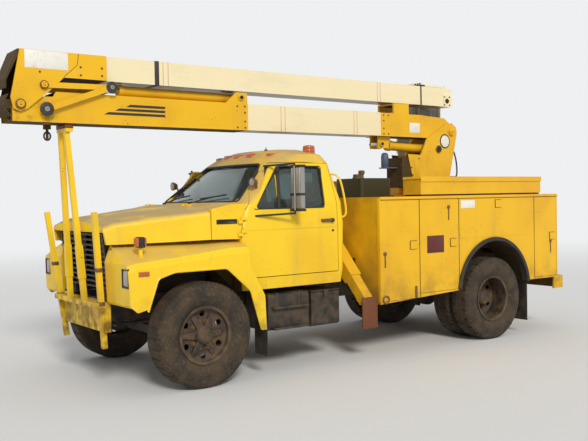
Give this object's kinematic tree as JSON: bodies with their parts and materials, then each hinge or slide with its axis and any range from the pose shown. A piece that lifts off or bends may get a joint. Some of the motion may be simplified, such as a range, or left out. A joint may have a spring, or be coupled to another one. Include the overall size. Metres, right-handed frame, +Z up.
{
  "type": "bucket truck",
  "caption": "Conventional-cab service truck with side compartments, outriggers and a turret that carries a folding two-section boom with a bucket, resting over the hood.",
  "frame": {"origin": "centre of the bounding box at its bottom, on the ground that the tyres stand on", "axes": "+X forward, +Y to the vehicle's left, +Z up"},
  "size_m": [7.1692, 2.444, 3.405],
  "materials": {
    "yellow_paint": "weathered gloss",
    "hood_paint": "chalky",
    "white_fibreglass": "satin",
    "frame_black": "dusty",
    "wheel_black": "dusty",
    "grille_black": "satin",
    "cast_engine": "rough",
    "tank_green": "satin",
    "bright_rod": "polished",
    "mirror_black": "satin",
    "glass": "clear",
    "seat_cloth": "worn",
    "lamp_amber": "clear",
    "rubber": "matte",
    "tyre": "dusty"
  },
  "bodies": {
    "chassis": {"chassis_frame": "frame_black", "engine": "cast_engine", "front_axle": "frame_black", "rear_axle": "frame_black", "cab_shell": "yellow_paint", "cab_glass": "glass", "cab_interior": "seat_cloth", "fenders": "yellow_paint", "grille": "grille_black", "lamps": "lamp_amber", "front_rack": "yellow_paint", "deck": "yellow_paint", "mud_flaps": "rubber", "pedestal": "yellow_paint", "reservoir": "tank_green", "outrigger_sleeves": "yellow_paint", "left_bins": "yellow_paint", "right_bins": "yellow_paint"},
    "hood": {"hood": "hood_paint"},
    "turret": {"turret": "yellow_paint"},
    "lower_boom": {"lower_boom": "yellow_paint", "lower_boom_insert": "white_fibreglass"},
    "upper_boom": {"upper_boom_elbow": "yellow_paint", "upper_boom_beam": "white_fibreglass"},
    "bucket": {"bucket": "white_fibreglass"},
    "lift_barrel": {"lift_barrel": "yellow_paint"},
    "lift_rod": {"lift_rod": "bright_rod"},
    "fold_barrel": {"fold_barrel": "yellow_paint"},
    "fold_rod": {"fold_rod": "bright_rod"},
    "drive_link": {"drive_link": "yellow_paint"},
    "guide_link": {"guide_link": "yellow_paint"},
    "left_cab_door": {"left_cab_door": "yellow_paint", "left_door_glass": "glass", "left_mirror": "mirror_black"},
    "left_knuckle": {"left_knuckle": "frame_black"},
    "left_front_wheel": {"left_front_rim": "wheel_black", "left_front_tyre": "tyre"},
    "left_rear_wheels": {"left_rear_rims": "wheel_black", "left_rear_tyres": "tyre"},
    "left_front_bin_door": {"left_front_bin_door": "yellow_paint"},
    "left_middle_bin_door": {"left_middle_bin_door": "yellow_paint"},
    "left_wheel_bin_door": {"left_wheel_bin_door": "yellow_paint"},
    "left_rear_bin_door": {"left_rear_bin_door": "yellow_paint"},
    "left_chest_lid": {"left_chest_lid": "yellow_paint"},
    "left_outrigger_leg": {"left_outrigger_leg": "yellow_paint"},
    "right_cab_door": {"right_cab_door": "yellow_paint", "right_door_glass": "glass", "right_mirror": "mirror_black"},
    "right_knuckle": {"right_knuckle": "frame_black"},
    "right_front_wheel": {"right_front_rim": "wheel_black", "right_front_tyre": "tyre"},
    "right_rear_wheels": {"right_rear_rims": "wheel_black", "right_rear_tyres": "tyre"},
    "right_front_bin_door": {"right_front_bin_door": "yellow_paint"},
    "right_middle_bin_door": {"right_middle_bin_door": "yellow_paint"},
    "right_wheel_bin_door": {"right_wheel_bin_door": "yellow_paint"},
    "right_rear_bin_door": {"right_rear_bin_door": "yellow_paint"},
    "right_chest_lid": {"right_chest_lid": "yellow_paint"},
    "right_outrigger_leg": {"right_outrigger_leg": "yellow_paint"}
  },
  "joints": [
    {"name": "hood_hinge", "type": "hinge", "parent": "chassis", "child": "hood", "pos_m": [1.844, 0, 1.776], "axis": [0, -1, 0], "range_deg": [0, 55]},
    {"name": "left_door_hinge", "type": "hinge", "parent": "chassis", "child": "left_cab_door", "pos_m": [1.5, 0.987, 1.5], "axis": [0, 0, -1], "range_deg": [0, 50]},
    {"name": "left_steer", "type": "hinge", "parent": "chassis", "child": "left_knuckle", "pos_m": [2.025, 0.8, 0.515], "axis": [0, 0, 1], "range_deg": [-35, 35]},
    {"name": "left_front_spin", "type": "hinge", "parent": "left_knuckle", "child": "left_front_wheel", "pos_m": [2.025, 1.015, 0.515], "axis": [0, 1, 0], "continuous": true},
    {"name": "left_rear_spin", "type": "hinge", "parent": "chassis", "child": "left_rear_wheels", "pos_m": [-2.095, 0.9, 0.515], "axis": [0, 1, 0], "continuous": true},
    {"name": "left_front_bin_hinge", "type": "hinge", "parent": "chassis", "child": "left_front_bin_door", "pos_m": [-0.1872, 1.2, 1.2075], "axis": [0, 0, -1], "range_deg": [0, 90]},
    {"name": "left_middle_bin_hinge", "type": "hinge", "parent": "chassis", "child": "left_middle_bin_door", "pos_m": [-0.7942, 1.2, 1.2325], "axis": [0, 0, -1], "range_deg": [0, 90]},
    {"name": "left_rear_bin_hinge", "type": "hinge", "parent": "chassis", "child": "left_rear_bin_door", "pos_m": [-2.8912, 1.2, 1.25], "axis": [0, 0, -1], "range_deg": [0, 90]},
    {"name": "left_wheel_bin_hinge", "type": "hinge", "parent": "chassis", "child": "left_wheel_bin_door", "pos_m": [-2.1705, 1.2, 1.2972], "axis": [-1, 0, 0], "range_deg": [0, 90]},
    {"name": "left_lid_hinge", "type": "hinge", "parent": "chassis", "child": "left_chest_lid", "pos_m": [-1.975, 0.863, 2.0115], "axis": [1, 0, 0], "range_deg": [0, 80]},
    {"name": "left_outrigger_slide", "type": "slide", "parent": "chassis", "child": "left_outrigger_leg", "axis": [0, 0.682, -0.7314], "range_m": [0, 0.48]},
    {"name": "right_door_hinge", "type": "hinge", "parent": "chassis", "child": "right_cab_door", "pos_m": [1.5, -0.987, 1.5], "axis": [0, 0, 1], "range_deg": [0, 50]},
    {"name": "right_steer", "type": "hinge", "parent": "chassis", "child": "right_knuckle", "pos_m": [2.025, -0.8, 0.515], "axis": [0, 0, 1], "range_deg": [-35, 35]},
    {"name": "right_front_spin", "type": "hinge", "parent": "right_knuckle", "child": "right_front_wheel", "pos_m": [2.025, -1.015, 0.515], "axis": [0, 1, 0], "continuous": true},
    {"name": "right_rear_spin", "type": "hinge", "parent": "chassis", "child": "right_rear_wheels", "pos_m": [-2.095, -0.9, 0.515], "axis": [0, 1, 0], "continuous": true},
    {"name": "right_front_bin_hinge", "type": "hinge", "parent": "chassis", "child": "right_front_bin_door", "pos_m": [-0.1872, -1.2, 1.2075], "axis": [0, 0, 1], "range_deg": [0, 90]},
    {"name": "right_middle_bin_hinge", "type": "hinge", "parent": "chassis", "child": "right_middle_bin_door", "pos_m": [-0.7942, -1.2, 1.2325], "axis": [0, 0, 1], "range_deg": [0, 90]},
    {"name": "right_rear_bin_hinge", "type": "hinge", "parent": "chassis", "child": "right_rear_bin_door", "pos_m": [-2.8912, -1.2, 1.25], "axis": [0, 0, 1], "range_deg": [0, 90]},
    {"name": "right_wheel_bin_hinge", "type": "hinge", "parent": "chassis", "child": "right_wheel_bin_door", "pos_m": [-2.1705, -1.2, 1.2972], "axis": [1, 0, 0], "range_deg": [0, 90]},
    {"name": "right_lid_hinge", "type": "hinge", "parent": "chassis", "child": "right_chest_lid", "pos_m": [-1.975, -0.863, 2.0115], "axis": [-1, 0, 0], "range_deg": [0, 80]},
    {"name": "right_outrigger_slide", "type": "slide", "parent": "chassis", "child": "right_outrigger_leg", "axis": [0, -0.682, -0.7314], "range_m": [0, 0.48]},
    {"name": "turret_turn", "type": "hinge", "parent": "chassis", "child": "turret", "pos_m": [-2.065, 0, 1.93], "axis": [0, 0, 1], "continuous": true},
    {"name": "lower_boom_lift", "type": "hinge", "parent": "turret", "child": "lower_boom", "pos_m": [-2.46, 0, 2.693], "axis": [0, -1, 0], "range_deg": [0, 80]},
    {"name": "upper_boom_fold", "type": "hinge", "parent": "lower_boom", "child": "upper_boom", "pos_m": [3.442, 0, 2.761], "axis": [0, 1, 0], "range_deg": [0, 130]},
    {"name": "bucket_level", "type": "hinge", "parent": "upper_boom", "child": "bucket", "pos_m": [-2.394, -0.3, 3.116], "axis": [0, 1, 0], "range_deg": [-130, 80]},
    {"name": "lift_barrel_swing", "type": "hinge", "parent": "turret", "child": "lift_barrel", "pos_m": [-2.199, 0, 2.453], "axis": [0, -1, 0], "range_deg": [0, 90]},
    {"name": "lift_rod_slide", "type": "slide", "parent": "lift_barrel", "child": "lift_rod", "axis": [0.9986, 0, 0.0524], "range_m": [0, 0.46]},
    {"name": "fold_barrel_swing", "type": "hinge", "parent": "lower_boom", "child": "fold_barrel", "pos_m": [0.957, 0, 2.968], "axis": [0, -1, 0], "range_deg": [0, 14]},
    {"name": "fold_rod_slide", "type": "slide", "parent": "fold_barrel", "child": "fold_rod", "axis": [1, 0, 0.0025], "range_m": [0, 0.93]},
    {"name": "guide_link_swing", "type": "hinge", "parent": "lower_boom", "child": "guide_link", "pos_m": [3.199, 0, 2.721], "axis": [0, 1, 0], "range_deg": [0, 90]},
    {"name": "drive_link_swing", "type": "hinge", "parent": "upper_boom", "child": "drive_link", "pos_m": [3.212, 0, 2.956], "axis": [0, -1, 0], "range_deg": [0, 90]}
  ],
  "couplings": [
    {"joint": "right_steer", "follows": "left_steer", "ratio": 1},
    {"joint": "lift_barrel_swing", "follows": "lower_boom_lift", "ratio": 1.0175},
    {"joint": "lift_rod_slide", "follows": "lower_boom_lift", "m_per_rad": 0.3258},
    {"joint": "fold_barrel_swing", "follows": "upper_boom_fold", "ratio": 0.078},
    {"joint": "fold_rod_slide", "follows": "upper_boom_fold", "m_per_rad": 0.4037},
    {"joint": "guide_link_swing", "follows": "upper_boom_fold", "ratio": 0.66},
    {"joint": "drive_link_swing", "follows": "upper_boom_fold", "ratio": 0.545}
  ]
}
